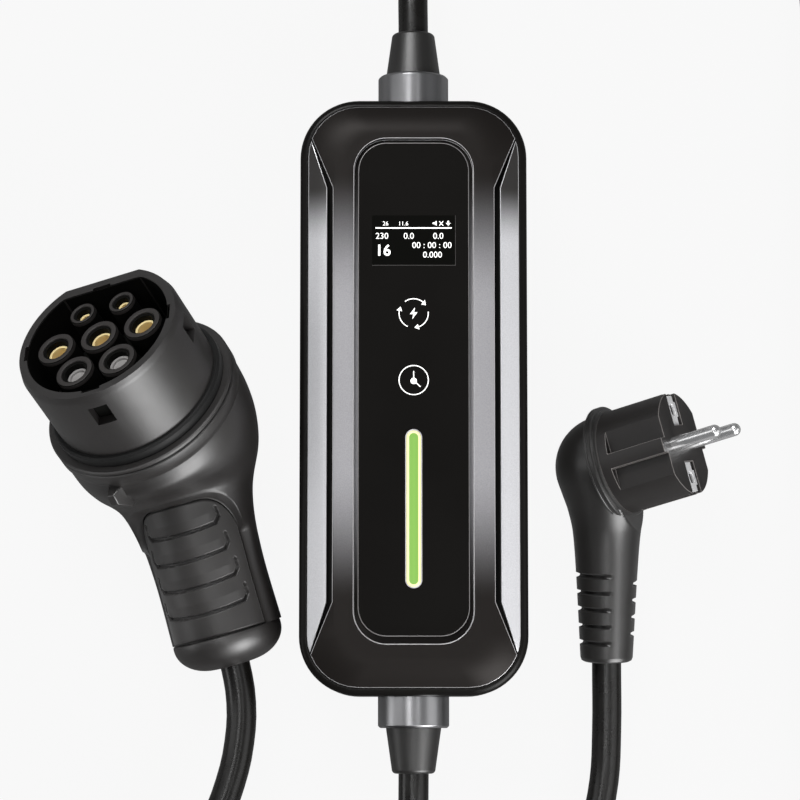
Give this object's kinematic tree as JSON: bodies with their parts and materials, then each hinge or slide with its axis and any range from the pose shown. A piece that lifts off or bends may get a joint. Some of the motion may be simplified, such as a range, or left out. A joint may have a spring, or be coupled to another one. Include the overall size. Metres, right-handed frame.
{
  "type": "portable electric car charging cable with in-line control box",
  "caption": "Portable car charging lead: a long control box with a glossy face and bright side trims between an angled mains plug and a pistol-grip vehicle connector.",
  "frame": {"origin": "centre of the control box's flat back, which lies on the table", "axes": "+Z out of the box's face, +Y along the box towards the mains lead, +X to the right of the face"},
  "size_m": [0.2986, 0.5649, 0.0939],
  "materials": {
    "case_black": "moulded black shell, satin gloss",
    "seal_rubber": "matt black seal",
    "steel": "zinc-plated steel",
    "bezel_graphite": "dark metallic paint",
    "trim_silver": "bright silver paint",
    "panel_gloss": "polished black",
    "display_glass": "black display with white figures",
    "light_green": "lit green, translucent",
    "copper": "bare copper alloy",
    "board_green": "green solder resist",
    "relay_black": "moulded black",
    "transformer_yellow": "yellow tape",
    "sensor_blue": "blue moulded ring",
    "collar_metal": "turned and plated metal",
    "boot_rubber": "matt black rubber",
    "connector_black": "fine-grained black",
    "carrier_black": "matt black insulator",
    "gold": "gold-plated contact",
    "blank_grey": "grey blank",
    "grip_rubber": "satin black soft grip",
    "plug_black": "fine-grained black",
    "pin_chrome": "nickel-plated brass",
    "plug_rubber": "satin black rubber",
    "cable_black": "satin black jacket",
    "tie_black": "woven hook-and-loop strap"
  },
  "bodies": {
    "root": {"rear_cover": "case_black", "front_housing": "case_black", "housing_seal": "seal_rubber", "case_screws": "steel", "face_bezel": "bezel_graphite", "side_trim_left": "trim_silver", "side_trim_right": "trim_silver", "front_panel": "panel_gloss", "display_module": "display_glass", "light_guide": "light_green", "touch_springs": "copper", "display_board": "board_green", "control_board": "board_green", "board_screws": "steel", "power_relays": "relay_black", "supply_transformer": "transformer_yellow", "current_sensor": "sensor_blue", "buzzer": "relay_black", "top_gland_collar": "collar_metal", "bottom_gland_collar": "collar_metal", "gland_nuts": "collar_metal", "top_cable_boot": "boot_rubber", "bottom_cable_boot": "boot_rubber", "connector_barrel": "connector_black", "contact_carrier": "carrier_black", "power_contacts": "gold", "signal_contacts": "gold", "contact_blanks": "blank_grey", "barrel_seal": "seal_rubber", "connector_body": "connector_black", "grip_insert": "grip_rubber", "connector_end_cap": "connector_black", "plug_body": "plug_black", "plug_pins": "pin_chrome", "earth_clips": "pin_chrome", "plug_cover": "plug_rubber", "mains_cord": "cable_black", "vehicle_cord_start": "cable_black", "vehicle_cord_coil": "cable_black", "vehicle_cord_end": "cable_black", "coil_tie": "tie_black"}
  },
  "joints": []
}
